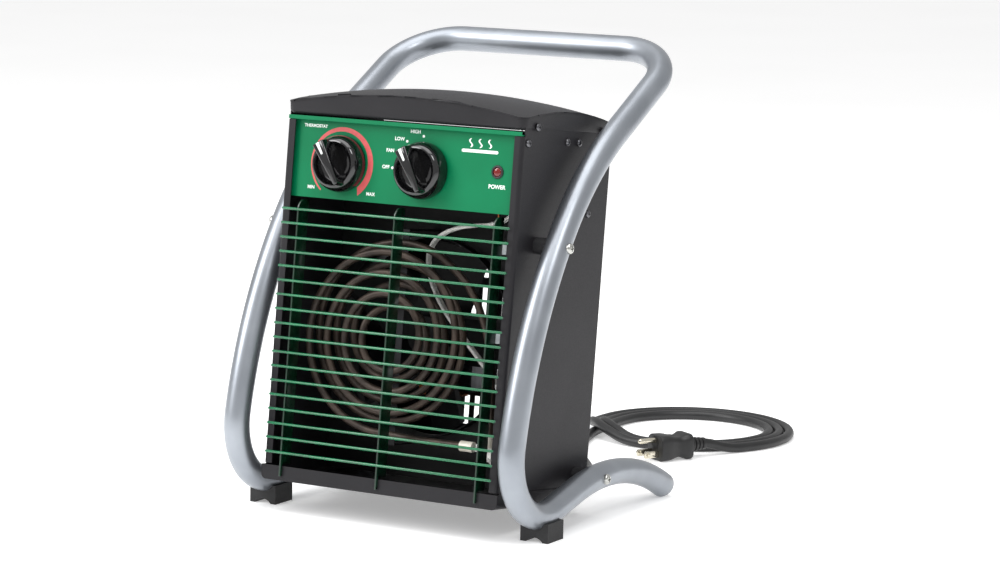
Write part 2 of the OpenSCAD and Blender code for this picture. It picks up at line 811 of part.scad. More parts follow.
module motor_mount() color("#8b8f90") in_body() difference() {
    union() {
        box([air_x - mount_leg, mount_y, air_z - mount_half],
            [air_x + mount_leg, mount_y + plate_t, air_z + mount_half]);
        for (s = [-1, 1]) {
            box([air_x + s * mount_leg - plate_t / 2, mount_y, air_z - mount_half],
                [air_x + s * mount_leg + plate_t / 2, back_y, air_z + mount_half]);
            box([air_x + s * mount_reach - 9, back_y - plate_t, air_z - mount_half],
                [air_x + s * mount_reach + 9, back_y, air_z + mount_half]);
        }
    }
    for (s = [-1, 1])
        rod_y(air_x + s * motor_screw_x, air_z, mount_y - cut, plate_t + 2 * cut, screw_d);
    for (p = mount_spots) rod_y(p[0], p[1], back_y - 6, 8, screw_d);
}

module motor_screws() color("#c9c9c9") in_body() for (s = [-1, 1]) {
    front = motor_y - plate_off - plate_t;
    rod_y(air_x + s * motor_screw_x, air_z, front - head_h, head_h, head_d);
    rod_y(air_x + s * motor_screw_x, air_z, front, mount_y + 3 - front, screw_d);
}

// ---- Controls ----

case_depth = 22;
bushing_front = 0;
shaft_tip = -12;
shaft_root = panel_recess + sheet + 14;

// A switch or thermostat behind the panel, with its threaded bushing through it
module control_case_at(x) {
    difference() {
        union() {
            box([x - control_case / 2, panel_recess + sheet, knob_z - control_case / 2],
                [x + control_case / 2, panel_recess + sheet + case_depth,
                 knob_z + control_case / 2]);
            rod_y(x, knob_z, bushing_front, panel_recess + sheet, bushing_d);
        }
        rod_y(x, knob_z, bushing_front - cut, shaft_root - bushing_front + cut + gap,
              shaft_d + 2 * running_gap);
    }
}

module control_shaft_at(x) {
    rod_y(x, knob_z, shaft_tip, shaft_root - shaft_tip, shaft_d);
}

knob_back = panel_recess - knob_gap;
skirt_h = 7;
slope_h = 4;
grip_w = 13;
grip_tail = 5;
cavity_h = 7;

module knob_at(x, pointer) {
    translate([x, knob_back, knob_z]) rotate([90, 0, 0]) rotate([0, 0, -pointer])
        difference() {
            union() {
                cylinder(h = skirt_h, d = knob_d);
                translate([0, 0, skirt_h])
                    cylinder(h = slope_h, d1 = knob_d - 1, d2 = knob_d - 8);
                intersection() {
                    cylinder(h = knob_h, d = knob_d - 6);
                    linear_extrude(knob_h) polygon([
                        [-grip_w / 2, knob_d / 2], [grip_w / 2, knob_d / 2],
                        [grip_tail / 2, -knob_d / 2], [-grip_tail / 2, -knob_d / 2]
                    ]);
                }
            }
            difference() {
                translate([0, 0, -cut]) cylinder(h = cavity_h + cut, d = knob_d - 12);
                translate([0, 0, knob_back - bushing_front + knob_gap])
                    cylinder(h = cavity_h, d = shaft_d + 6);
            }
            translate([0, 0, -cut]) cylinder(h = knob_back - shaft_tip + cut + gap, d = shaft_d);
        }
}

module thermostat_case() color("#cfc9b8") in_body() control_case_at(thermostat_x);

module thermostat_shaft() color("#c4c8ca") in_body() control_shaft_at(thermostat_x);

module thermostat_knob() color("#101011") in_body() knob_at(thermostat_x, thermostat_pointer);

module switch_case() color("#3c3c3e") in_body() control_case_at(mode_x);

module switch_shaft() color("#c4c8ca") in_body() control_shaft_at(mode_x);

module mode_knob() color("#101011") in_body() knob_at(mode_x, mode_pointer);

bezel_t = 1.2;

module lamp_bezel() color("#151515") in_body() difference() {
    union() {
        rod_y(lamp_x, lamp_z, panel_recess - bezel_t, bezel_t, bezel_d);
        rod_y(lamp_x, lamp_z, panel_recess, 9, bezel_d - 2);
    }
    rod_y(lamp_x, lamp_z, panel_recess - 2 * bezel_t, 12, lens_d);
}

module power_lamp() color("#6e1512") in_body()
    rod_y(lamp_x, lamp_z, panel_recess - bezel_t - 0.4, 18, lens_d);

// ---- Sensor, cut-out and wiring ----

bulb_at = [half_w - 26, 15];
bulb_d = 4;
bulb_low = shield_z - 131;
bulb_len = 113;

module sensor_bulb() color("#a8602f") in_body()
    translate([bulb_at[0], bulb_at[1], bulb_low]) cylinder(h = bulb_len, d = bulb_d);

module bulb_clips() color("#8b8f90") in_body()
    for (z = [bulb_low + 20, bulb_low + bulb_len - 20]) {
        clip_y = bulb_at[1] + bulb_d / 2;
        box([bulb_at[0] - 3, clip_y, z - 4], [fit_w, clip_y + sheet, z + 4]);
        box([fit_w - sheet, clip_y, z - 4], [fit_w, clip_y + 12, z + 4]);
    }

capillary_d = 2;
capillary_sides = 6;
// From the bulb's top, past the shield's edge and behind the switch to the thermostat
capillary_path = concat(
    [for (p = [[0, 0, 0], [0, 0.5, 6], [-1, 0.5, 14], [-4, 3, 21]])
        [bulb_at[0] + p[0], bulb_at[1] + p[1], bulb_low + bulb_len + p[2]]],
    [for (p = [[74, 27, 7], [58, 34, 6], [mode_x + 20, 36, 6], [mode_x, 36, 6],
               [mode_x - 22, 35, 6], [thermostat_x + 40, 31, 8], [thermostat_x + 27, 24, 10],
               [thermostat_x + control_case / 2, 20, 11]])
        [p[0], p[1], shield_z + p[2]]]
);

module capillary_tube() color("#a8602f") in_body()
    swept_tube(capillary_path, capillary_d / 2, capillary_sides, [0, 1, 0]);

cutout_at = [56, 46];

module thermal_cutout() color("#1f1f20") in_body()
    translate([cutout_at[0], cutout_at[1], shield_z]) mirror([0, 0, 1]) {
        cylinder(h = 9, d = 16);
        translate([-14, -5, 0]) cube([28, 10, 1.2]);
    }

module lead_grommet() color("#111111") in_body()
    translate([grommet_at[0], grommet_at[1], shield_z]) difference() {
        union() {
            translate([0, 0, -1.5]) cylinder(h = sheet + 3, d = grommet_d);
            translate([0, 0, -1.5]) cylinder(h = 1.5, d = grommet_d + 3);
            translate([0, 0, sheet]) cylinder(h = 1.5, d = grommet_d + 3);
        }
        translate([0, 0, -3]) cylinder(h = 10, d = 8);
    }

wire_lead_d = 3;
// Half the distance between the two wires
lead_apart = 1.9;
// Drop from the shield to the fan's axis that the heights in lead_top are set for
lead_drop = 121;
// Both wires drop from the grommet, pass behind the element and end on its terminals
lead_top = [[0, 0, 12], [0, 0, 2], [-1, 0, -8], [-8, -1, -15], [-20, -2, -19.5],
            [-36, -3, -22], [-54, -3, -26], [-69, -1, -33], [-80, 3, -43], [-85, 8, -56],
            [-83, 12, -72], [-73, 15, -92], [-55, 16, -113], [-33, 15, -134],
            [-12, 10, -153], [4, 3, -173]];
function lead_path(side, last) = concat(
    [for (p = lead_top) [grommet_at[0] + p[0], grommet_at[1] + p[1] + side * lead_apart,
                         shield_z + p[2] * (shield_z - air_z) / lead_drop]],
    last
);
lead_ends = [
    [[fit_w - 22, 52, air_z - 64], [fit_w - 20, 40, air_z - 78],
     [fit_w - 24, 31, air_z - 83],
     [end_front[0] + bushing_len + tab_len, end_front[1], end_front[2]]],
    [[fit_w - 16, 54, air_z - 68], [fit_w - 15, 48, air_z - 86],
     [fit_w - 22, 43, air_z - 98],
     [end_rear[0], end_rear[1], end_rear[2] - bushing_len - tab_len - 1]]
];

module heater_leads() color("#f0efe8") in_body() {
    swept_tube(lead_path(-1, lead_ends[0]), wire_lead_d / 2, 6, [0, 1, 0]);
    swept_tube(lead_path(1, lead_ends[1]), wire_lead_d / 2, 6, [0, 1, 0]);
}

module terminal_block() color("#e8e4d8") in_body()
    box([70, body_d - 40, tray_wall], [104, body_d - 12, tray_wall + 15]);

module strain_relief() color("#141415") in_body() {
    rod_y(gland_x, gland_z, body_d - 8, 8, 16);
    rod_y(gland_x, gland_z, body_d, 3, 22);
    translate([gland_x, body_d + 3, gland_z]) rotate([-90, 0, 0])
        cylinder(h = gland_len - 3, d1 = 15, d2 = 11);
}

// ---- Mains cord and plug ----

module cord_lead() color("#121213") swept_tube(cord_lead_route, cord_d / 2, 12, [0, 0, 1]);

module cord_coil() color("#121213") translate([coil_at[0], coil_at[1], 0])
    rotate_extrude($fn = 96) translate([coil_inner, 0])
        square([coil_outer - coil_inner, coil_h]);

module cord_tail() color("#121213") swept_tube(cord_tail_route, cord_d / 2, 12, [0, 0, 1]);

module at_plug() {
    translate(plug_at) rotate([0, 0, plug_turn]) children();
}

plug_round = 6;
blade_gap = 12.7;
blade_len = 16;

module plug_body() color("#121213") at_plug() {
    rotate([0, 90, 0]) cylinder(h = plug_neck, d1 = 11, d2 = 16);
    translate([plug_neck, 0, 0]) rotate([90, 0, 90]) linear_extrude(plug_len) {
        square([plug_w - 2 * plug_round, plug_h], center = true);
        square([plug_w, plug_h - 2 * plug_round], center = true);
        for (x = [-1, 1]) for (y = [-1, 1])
            translate([x * (plug_w / 2 - plug_round), y * (plug_h / 2 - plug_round)])
                circle(r = plug_round);
    }
}

module plug_blades() color("#d8c27a") at_plug() for (s = [-1, 1])
    translate([plug_neck + plug_len, s * blade_gap / 2 - 0.75, -8]) cube([blade_len, 1.5, 6.3]);

module ground_pin() color("#d8c27a") at_plug()
    translate([plug_neck + plug_len, 0, 7]) rotate([0, 90, 0])
        cylinder(h = blade_len + 2.5, d = 4.8);

stand_tube();
tube_end_plugs();
left_foot();
right_foot();
stand_spacers();
stand_screws();
base_tray();
left_side_panel();
right_side_panel();
back_panel();
top_cover();
control_panel();
front_grille();
cross_brace();
heat_shield();
fan_shroud();
cover_screws();
side_screws();
back_screws();
heating_element();
element_brackets();
element_bushings();
element_terminals();
fan_blades();
motor_shaft();
motor_rotor();
motor_core();
motor_coil();
motor_end_plates();
motor_mount();
motor_screws();
mount_screws();
thermostat_case();
thermostat_shaft();
thermostat_knob();
switch_case();
switch_shaft();
mode_knob();
lamp_bezel();
power_lamp();
sensor_bulb();
bulb_clips();
capillary_tube();
thermal_cutout();
lead_grommet();
heater_leads();
terminal_block();
strain_relief();
cord_lead();
cord_coil();
cord_tail();
plug_body();
plug_blades();
ground_pin();
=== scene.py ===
import math

import bpy
from mathutils import Matrix, Quaternion, Vector


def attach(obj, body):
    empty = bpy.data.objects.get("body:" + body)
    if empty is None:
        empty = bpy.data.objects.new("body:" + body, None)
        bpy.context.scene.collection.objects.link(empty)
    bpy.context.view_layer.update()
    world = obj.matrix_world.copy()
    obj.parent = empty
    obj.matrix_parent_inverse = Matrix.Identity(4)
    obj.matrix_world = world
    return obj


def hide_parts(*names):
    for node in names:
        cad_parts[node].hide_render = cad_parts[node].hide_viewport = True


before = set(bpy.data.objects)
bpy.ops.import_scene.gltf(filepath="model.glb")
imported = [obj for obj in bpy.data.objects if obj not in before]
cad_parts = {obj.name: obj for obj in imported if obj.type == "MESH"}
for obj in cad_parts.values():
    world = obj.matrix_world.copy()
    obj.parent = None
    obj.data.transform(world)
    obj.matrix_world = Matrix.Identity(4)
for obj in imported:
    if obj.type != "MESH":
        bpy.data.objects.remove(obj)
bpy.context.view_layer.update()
bpy.ops.object.select_all(action="DESELECT")

MM = 0.001

# ---- Camera ----

camera_at = Vector((1.4802, -2.4950, 0.6143))
camera_target = Vector((0.04404, -0.0077, 0.1969))
camera_roll = math.radians(1.1)
turn_to_target = (camera_target - camera_at).to_track_quat("-Z", "Y")
bpy.ops.object.camera_add(location=camera_at)
camera = bpy.context.object
camera.name = "camera"
camera.rotation_mode = "QUATERNION"
camera.rotation_quaternion = turn_to_target @ Quaternion((0, 0, 1), camera_roll)
camera.data.lens = 123.64
camera.data.sensor_width = 36
camera.data.clip_end = 30
bpy.context.scene.camera = camera

# ---- Where things are, in millimetres ----

# The body leans back; body points are (x, depth behind the front flanges, height over the tray)
lean = math.radians(6.25)
body_place = Matrix.Translation((0, -0.1287315, 0.029)) @ Matrix.Rotation(-lean, 4, "X")
half_w = 114
body_d = 152
tube_x = 133.5
tube_r = 11
knob_z = 270
thermostat_x = -60
mode_x = 19.5
lamp_x = 90
lamp_z = 274
panel_y = 4.5
air_x = -18
air_z = 128
gland = (60, body_d, 34)

facing_front = Matrix.Rotation(math.radians(90), 4, "X")
facing_back = Matrix.Rotation(math.radians(-90), 4, "X")
facing_right = Matrix.Rotation(math.radians(90), 4, "Y")
facing_left = Matrix.Rotation(math.radians(-90), 4, "Y")


def at(x, y, z):
    return Matrix.Translation(Vector((x, y, z)) * MM)


def on_body(points):
    return [body_place @ (Vector(p) * MM) for p in points]


# ---- Hand tools ----


def to_edit():
    bpy.ops.object.mode_set(mode="EDIT")


def to_object():
    bpy.ops.object.mode_set(mode="OBJECT")
    return bpy.context.object


def only(piece):
    bpy.ops.object.select_all(action="DESELECT")
    piece.select_set(True)
    bpy.context.view_layer.objects.active = piece


def settle(piece, place=None):
    """Moves a piece to its place and leaves the place in its mesh."""
    only(piece)
    if place is not None:
        piece.matrix_world = place @ piece.matrix_world
    bpy.ops.object.transform_apply(location=True, rotation=True, scale=True)
    return piece


def outward(piece):
    only(piece)
    to_edit()
    bpy.ops.mesh.select_all(action="SELECT")
    bpy.ops.mesh.remove_doubles(threshold=0.000002)
    bpy.ops.mesh.normals_make_consistent(inside=False)
    return to_object()


def modify(piece, kind, **settings):
    only(piece)
    bpy.ops.object.modifier_add(type=kind)
    modifier = piece.modifiers[-1]
    for name, value in settings.items():
        setattr(modifier, name, value)
    bpy.ops.object.modifier_apply(modifier=modifier.name)
    return piece


def ease(piece, width, segments=2, angle=35):
    """Rounds the sharp edges, as paint and moulding do."""
    return modify(piece, "BEVEL", width=width * MM, segments=segments, limit_method="ANGLE",
                  angle_limit=math.radians(angle), use_clamp_overlap=True)


def join(name, pieces):
    bpy.ops.object.select_all(action="DESELECT")
    for piece in pieces:
        piece.select_set(True)
    bpy.context.view_layer.objects.active = pieces[0]
    if len(pieces) > 1:
        bpy.ops.object.join()
    pieces[0].name = name
    return pieces[0]


def turned(name, profile, sides=48, start=None):
    """A shape turned about Z: a filled circle, extruded and resized ring by ring."""
    radius, height = profile[0]
    if start is None:
        bpy.ops.mesh.primitive_circle_add(vertices=sides, radius=radius * MM, fill_type="NGON",
                                          location=(0, 0, height * MM))
    else:
        start(radius, height)
    settle(bpy.context.object)
    to_edit()
    bpy.ops.mesh.select_all(action="SELECT")
    for ring_radius, ring_height in profile[1:]:
        rise = (0, 0, (ring_height - height) * MM)
        grow = ring_radius / radius
        bpy.ops.mesh.extrude_region_move(TRANSFORM_OT_translate={"value": rise})
        bpy.ops.transform.resize(value=(grow, grow, 1), center_override=(0, 0, ring_height * MM))
        radius, height = ring_radius, ring_height
    piece = to_object()
    piece.name = name
    return outward(piece)


def block(name, low, high):
    size = [(b - a) * MM for a, b in zip(low, high)]
    middle = [(a + b) / 2 * MM for a, b in zip(low, high)]
    bpy.ops.mesh.primitive_cube_add(size=1, location=middle, scale=size)
    piece = settle(bpy.context.object)
    piece.name = name
    return piece


def cut(piece, cutter):
    modify(piece, "BOOLEAN", operation="DIFFERENCE", object=cutter, solver="EXACT")
    bpy.data.objects.remove(cutter)
    return piece


def drawn_tube(name, points, radius, sides=3, smooth=False, keep=False):
    """A round rod along points in metres: a curve with a bevel."""
    bpy.ops.curve.primitive_bezier_curve_add()
    curve = bpy.context.object
    curve.matrix_world = Matrix.Identity(4)
    curve.name = name
    curve.data.splines.clear()
    kind = "BEZIER" if smooth else "POLY"
    spline = curve.data.splines.new(kind)
    knots = spline.bezier_points if smooth else spline.points
    knots.add(len(points) - 1)
    for knot, point in zip(knots, points):
        if smooth:
            knot.co = point
            knot.handle_left_type = knot.handle_right_type = "AUTO"
        else:
            knot.co = (*point, 1)
    curve.data.dimensions = "3D"
    curve.data.resolution_u = 6
    curve.data.bevel_depth = radius
    curve.data.bevel_resolution = sides
    curve.data.use_fill_caps = True
    if keep:
        return curve
    only(curve)
    bpy.ops.object.convert(target="MESH")
    return outward(bpy.context.object)


def from_cad(node, width=0.4, segments=2, angle=35):
    """A merged copy of a CAD node, so that its edges can be eased."""
    piece = bpy.data.objects.new(node + "_finished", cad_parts[node].data.copy())
    bpy.context.scene.collection.objects.link(piece)
    only(piece)
    to_edit()
    bpy.ops.mesh.select_all(action="SELECT")
    bpy.ops.mesh.remove_doubles(threshold=0.000005)
    bpy.ops.mesh.dissolve_limited(angle_limit=math.radians(1))
    piece = to_object()
    return ease(piece, width, segments, angle)


def hand_over(piece, body, slot, material, *nodes, smooth=35, level=False):
    """Finish, material, and the body and CAD nodes that a piece goes with."""
    if piece.type == "MESH":
        only(piece)
        bpy.ops.object.shade_smooth_by_angle(angle=math.radians(smooth))
    if level:
        modify(piece, "WEIGHTED_NORMAL", keep_sharp=True, weight=80)
    piece.data.materials.clear()
    piece.data.materials.append(material)
    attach(piece, body)
    if nodes:
        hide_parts(*nodes)
    return piece


# ---- Materials ----


def colour(code):
    """An sRGB hex value as the linear colour that shaders take."""
    channels = [int(code[i:i + 2], 16) / 255 for i in (1, 3, 5)]
    return tuple(c / 12.92 if c <= 0.04045 else ((c + 0.055) / 1.055) ** 2.4
                 for c in channels) + (1.0,)


def add(tree, kind, settings=None, links=None):
    """Adds a node: settings go to its own values or sockets, links come from other sockets."""
    node = tree.nodes.new(kind)
    for name, value in (settings or {}).items():
        if isinstance(name, str) and hasattr(node, name):
            setattr(node, name, value)
        else:
            node.inputs[name].default_value = value
    for name, source in (links or {}).items():
        tree.links.new(source, node.inputs[name])
    return node


def per_metre(size_mm):
    """Pattern scale that makes one cell of a texture about size_mm across."""
    return 1000 / size_mm


def material(name, light, dark, rough, patch_mm, grain_mm, depth_mm, stretch=(1, 1, 1), **shader):
    """Colour that drifts over patches, and a grain that changes roughness and height."""
    made = bpy.data.materials.new(name)
    made.use_nodes = True
    tree = made.node_tree
    tree.nodes.clear()
    place = add(tree, "ShaderNodeTexCoord").outputs["Object"]
    place = add(tree, "ShaderNodeMapping", {"Scale": stretch}, {"Vector": place}).outputs[0]
    patch = add(tree, "ShaderNodeTexNoise", {"Scale": per_metre(patch_mm), "Detail": 3.0},
                {"Vector": place}).outputs["Fac"]
    grain = add(tree, "ShaderNodeTexNoise", {"Scale": per_metre(grain_mm), "Detail": 4.0},
                {"Vector": place}).outputs["Fac"]
    tint = add(tree, "ShaderNodeMapRange",
               {"From Min": 0.3, "From Max": 0.7}, {"Value": patch}).outputs[0]
    tone = add(tree, "ShaderNodeMix", {"data_type": "RGBA", 6: colour(dark), 7: colour(light)},
               {0: tint}).outputs[2]
    polish = add(tree, "ShaderNodeMapRange",
                 {"From Min": 0.3, "From Max": 0.7, "To Min": rough[0], "To Max": rough[1]},
                 {"Value": grain}).outputs[0]
    relief = add(tree, "ShaderNodeBump", {"Strength": 1.0, "Distance": depth_mm * MM},
                 {"Height": grain}).outputs[0]
    surface = add(tree, "ShaderNodeBsdfPrincipled",
                  {key.replace("_", " "): value for key, value in shader.items()},
                  {"Base Color": tone, "Roughness": polish, "Normal": relief})
    add(tree, "ShaderNodeOutputMaterial", None, {"Surface": surface.outputs[0]})
    return made


# Satin black powder coat on sheet steel: baked powder leaves a fine orange peel, drawn at 0.8 mm
# because the real 0.4 mm is too fine to show
black_coat = material("satin_black_powder_coat", "#232225", "#1d1c1f", (0.40, 0.52), 60, 0.8,
                      0.006, IOR=1.5, Specular_IOR_Level=0.25)
# The same powder in green on the control panel
green_coat = material("green_powder_coat", "#00774c", "#006b43", (0.34, 0.46), 70, 0.8, 0.005,
                      IOR=1.5, Specular_IOR_Level=0.2)
# Green epoxy coat on welded wire, glossy where it has run round the rods
wire_coat = material("green_wire_coat", "#006f44", "#005935", (0.20, 0.32), 18, 1.2, 0.008,
                     IOR=1.5, Coat_Weight=0.5, Coat_Roughness=0.12)
# The same coat on the flat strips behind the rods, made much darker as painted shade for the shade
# behind and between the rods
strip_painted_shade_coat = material("green_strip_coat_painted_shade", "#002c18", "#002213", (0.26, 0.38), 18, 1.2, 0.008,
                      IOR=1.5, Coat_Weight=0.4, Coat_Roughness=0.15)
# Silver lacquer over bent steel tube: fine metal flake under a clear coat
silver_lacquer = material("silver_lacquer_on_steel", "#a0a5ac", "#91969d", (0.32, 0.42), 45, 0.6,
                          0.004, Metallic=0.85, Coat_Weight=0.25, Coat_Roughness=0.2)
# Polished black ABS: moulded in a bright die, so almost no grain and a sharp reflection
gloss_plastic = material("polished_black_abs", "#101012", "#0b0b0c", (0.05, 0.10), 30, 3.0,
                         0.003, IOR=1.54, Coat_Weight=0.5, Coat_Roughness=0.04)
# Moulded nylon with a spark-eroded grain of about 0.5 mm
matt_nylon = material("black_moulded_nylon", "#232325", "#1b1b1d", (0.45, 0.60), 20, 0.5, 0.02,
                      IOR=1.53)
# Moulded rubber: dull, with a faint bloom
rubber = material("black_moulded_rubber", "#1f1f20", "#161617", (0.55, 0.75), 12, 0.6, 0.02,
                  IOR=1.52)
# Zinc-plated screw steel, bright with a faint yellow cast
zinc_screw = material("zinc_plated_screw_steel", "#d2d2cd", "#b9bab6", (0.18, 0.30), 4, 0.3,
                      0.004, Metallic=1.0)
# Black-nickel screws that hold the sheets
dark_screw = material("black_nickel_screw_steel", "#77777a", "#5f5f63", (0.22, 0.34), 4, 0.3,
                      0.004, Metallic=1.0)
# Galvanised sheet: spangle of 6 mm crystals
galvanised = material("galvanised_sheet", "#aeb3b5", "#969b9e", (0.25, 0.45), 6, 0.8, 0.004,
                      Metallic=1.0)
# Steel sheath, browned by heat: blotchy oxide along the rod
sheath = material("heat_browned_steel_sheath", "#4d4139", "#2f2824", (0.36, 0.54), 14, 0.7,
                  0.010, Metallic=0.5)
# Glazed steatite ceramic
steatite = material("glazed_steatite", "#eee9dc", "#e2dccd", (0.12, 0.22), 8, 1.0, 0.004,
                    IOR=1.55)
# Stove enamel on the pressed blades and on the sheets round the hot air
blade_enamel = material("black_stove_enamel", "#111112", "#0b0b0c", (0.42, 0.55), 25, 0.9, 0.006,
                        IOR=1.5, Specular_IOR_Level=0.3)
# Turned and ground shaft steel: fine rings round the shaft's axis
shaft_steel = material("ground_shaft_steel", "#cfd2d4", "#bbbfc2", (0.18, 0.28), 5, 0.25, 0.003,
                       (1, 6, 1), Metallic=1.0)
# Stacked motor laminations, 0.5 mm each, so the grain is drawn out across the stack
laminations = material("stacked_laminations", "#7c7c80", "#5a5a5e", (0.35, 0.50), 10, 0.8,
                       0.03, (0.1, 1.6, 0.1), Metallic=0.9)
# Enamelled copper winding under varnish
winding = material("varnished_copper_winding", "#b56a35", "#8e4c22", (0.18, 0.30), 3, 0.6, 0.03,
                   (0.15, 1, 1), Metallic=0.8, Coat_Weight=0.6, Coat_Roughness=0.1)
# Drawn copper tube, slightly dulled
copper = material("drawn_copper", "#c07a50", "#a2603c", (0.22, 0.34), 6, 0.4, 0.003,
                  (1, 1, 0.2), Metallic=1.0)
# Woven glass sleeve on the heater wires: a 0.8 mm braid
glass_sleeve = material("woven_glass_sleeve", "#fefdfa", "#f4f2ec", (0.45, 0.60), 5, 0.8, 0.04,
                        IOR=1.5, Sheen_Weight=0.5)
# Flexible vinyl jacket of the mains cord and plug: extruded, with a soft low sheen
vinyl = material("black_vinyl_jacket", "#1d1d1e", "#161617", (0.38, 0.50), 14, 1.2, 0.012,
                 IOR=1.53)
# Nickelled brass plug blades
nickel_brass = material("nickelled_brass", "#e2dccb", "#cfc8b6", (0.12, 0.22), 6, 0.4, 0.002,
                        Metallic=1.0)
# Red acrylic lens over an unlit neon lamp
red_lens = material("red_acrylic_lens", "#8f1a14", "#6d0f0c", (0.05, 0.10), 3, 1.5, 0.003,
                    IOR=1.49, Transmission_Weight=0.25, Coat_Weight=0.5, Coat_Roughness=0.03)
# White and red screen-print ink, a flat film
white_ink = material("white_screen_ink", "#f4f7f4", "#e6ece8", (0.40, 0.50), 5, 0.6, 0.002,
                     IOR=1.5)
red_ink = material("red_screen_ink", "#cf5a5a", "#c24c4e", (0.38, 0.48), 8, 0.6, 0.002, IOR=1.5)

# The element brackets are given the black powder coat as painted shade for the dark inside of the body
cad_finishes = {
    black_coat: ["base_tray", "left_side_panel", "right_side_panel", "back_panel", "top_cover",
                 "element_brackets"],
    green_coat: ["control_panel"],
    wire_coat: ["front_grille"],
    silver_lacquer: ["stand_tube"],
    gloss_plastic: ["thermostat_knob", "mode_knob"],
    matt_nylon: ["stand_spacers", "switch_case", "lamp_bezel", "thermal_cutout",
                 "strain_relief"],
    rubber: ["tube_end_plugs", "left_foot", "right_foot", "lead_grommet"],
    zinc_screw: ["stand_screws", "motor_screws", "element_terminals"],
    dark_screw: ["cover_screws", "side_screws", "back_screws", "mount_screws"],
    galvanised: ["cross_brace", "motor_end_plates", "motor_mount", "bulb_clips"],
    sheath: ["heating_element"],
    steatite: ["element_bushings", "thermostat_case", "terminal_block"],
    blade_enamel: ["fan_blades", "fan_shroud", "heat_shield"],
    shaft_steel: ["motor_shaft", "thermostat_shaft", "switch_shaft"],
    laminations: ["motor_rotor", "motor_core"],
    winding: ["motor_coil"],
    copper: ["sensor_bulb", "capillary_tube"],
    glass_sleeve: ["heater_leads"],
    vinyl: ["cord_lead", "cord_coil", "cord_tail", "plug_body"],
    nickel_brass: ["plug_blades", "ground_pin"],
    red_lens: ["power_lamp"],
}
for finish, names in cad_finishes.items():
    for node_name in names:
        node_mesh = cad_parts[node_name].data
        node_mesh.materials.clear()
        node_mesh.materials.append(finish)

# ---- Mains cord, strain relief and plug ----

cord_r = 4.5
lead_route = [
    (60, 64, 42), (60, 80, 40), (60, 98, 35), (58, 116, 27), (54, 134, 17.5), (47, 152, 9.5),
    (37, 170, 5.5), (25, 188, 4.5), (9, 210, 4.5), (-7, 234, 4.5), (-20, 258, 4.5),
    (-32, 286, 4.5), (-42, 314, 4.5), (-49, 343, 4.5), (-52, 372, 4.5),
]
tail_route = [(98, 339, 5), (91, 327, 7.5), (86, 318, 10.5), (82, 311, 12)]
coil_middle = (20, 400)
coil_start_r = 73
coil_spacing = 9.6
coil_sweep = 930
# The two places where a turn lies over the lead
crossings = (315, 675)
crossing_reach = 40
hump_rise = 9.1

route = list(lead_route)
for step in range(0, coil_sweep + 1, 15):
    across = coil_start_r + coil_spacing * step / 360
    angle = math.radians(180 - step)
    hump = sum(
        0.5 * (1 + math.cos(math.pi * (step - c) / crossing_reach))
        for c in crossings if abs(step - c) < crossing_reach
    )
    route.append((coil_middle[0] + across * math.cos(angle),
                  coil_middle[1] + across * math.sin(angle), cord_r + hump_rise * hump))
route += tail_route
cord = drawn_tube("mains_cord", [Vector(p) * MM for p in route], cord_r * MM, 6, True, True)
hand_over(cord, "housing", "cord_jacket", vinyl, "cord_lead", "cord_coil", "cord_tail")

# Gland with a flange and a ribbed taper that lets the cord bend
relief_profile = [(8, -8), (8, 0), (11, 0), (11, 2.2), (10.2, 3), (7.6, 3)]
for rib in range(5):
    rib_r = 7.5 - 0.45 * rib
    rib_z = 5.5 + 6.5 * rib
    relief_profile += [(rib_r, rib_z), (rib_r, rib_z + 3), (rib_r - 1.2, rib_z + 3.8),
                       (rib_r - 1.2, rib_z + 5.8)]
relief_profile += [(5.2, 37.6), (4.7, 38), (4.55, 38)]
strain_relief = settle(turned("cord_strain_relief", relief_profile, 40),
                       body_place @ at(*gland) @ facing_back)
hand_over(strain_relief, "housing", "black_plastic", matt_nylon, "strain_relief")

plug_place = at(82, 311, 12) @ Matrix.Rotation(math.radians(-120), 4, "Z")
along_plug = Matrix.Rotation(math.radians(90), 4, "Y")


def plug_outline(half, height):
    """The plug's oblong outline with round corners, its long side level."""
    bpy.ops.mesh.primitive_plane_add(size=2 * half * MM, location=(0, 0, height * MM))
    to_edit()
    bpy.ops.transform.resize(value=(24 / 27, 1, 1), center_override=(0, 0, height * MM))
    bpy.ops.mesh.bevel(offset=5.5 * MM, segments=6, affect="VERTICES")
    to_object()


plug_shell = turned("plug_shell", [
    (12.0, 19.6), (13.2, 20.2), (13.5, 21.5), (13.5, 24.5), (12.6, 26.5), (11.0, 30), (10.6, 33),
    (11.4, 37), (12.6, 41), (13.2, 45), (13.4, 52.4), (13.0, 53.6), (12.2, 54),
], start=plug_outline)
neck_profile = [(4.6, 0), (5.4, 0.4)]
for rib in range(4):
    rib_r = 5.6 + 0.45 * rib
    rib_z = 1.2 + 4.2 * rib
    neck_profile += [(rib_r, rib_z), (rib_r, rib_z + 2.4), (rib_r - 0.9, rib_z + 2.9),
                     (rib_r - 0.9, rib_z + 3.9)]
neck_profile += [(7.8, 18.4), (8.2, 20.5)]
plug_neck = turned("plug_neck", neck_profile, 32)
# The raised barrel over the earth pin
plug_barrel = turned("plug_barrel", [(3.5, 30), (5.6, 33.5), (6.6, 38), (6.8, 52.8), (6.3, 54)],
                     32)
settle(plug_barrel, at(-4.8, 0, 0))
plug = join("plug_moulding", [plug_shell, plug_neck, plug_barrel])
settle(plug, plug_place @ along_plug)
hand_over(plug, "housing", "cord_jacket", vinyl, "plug_body")

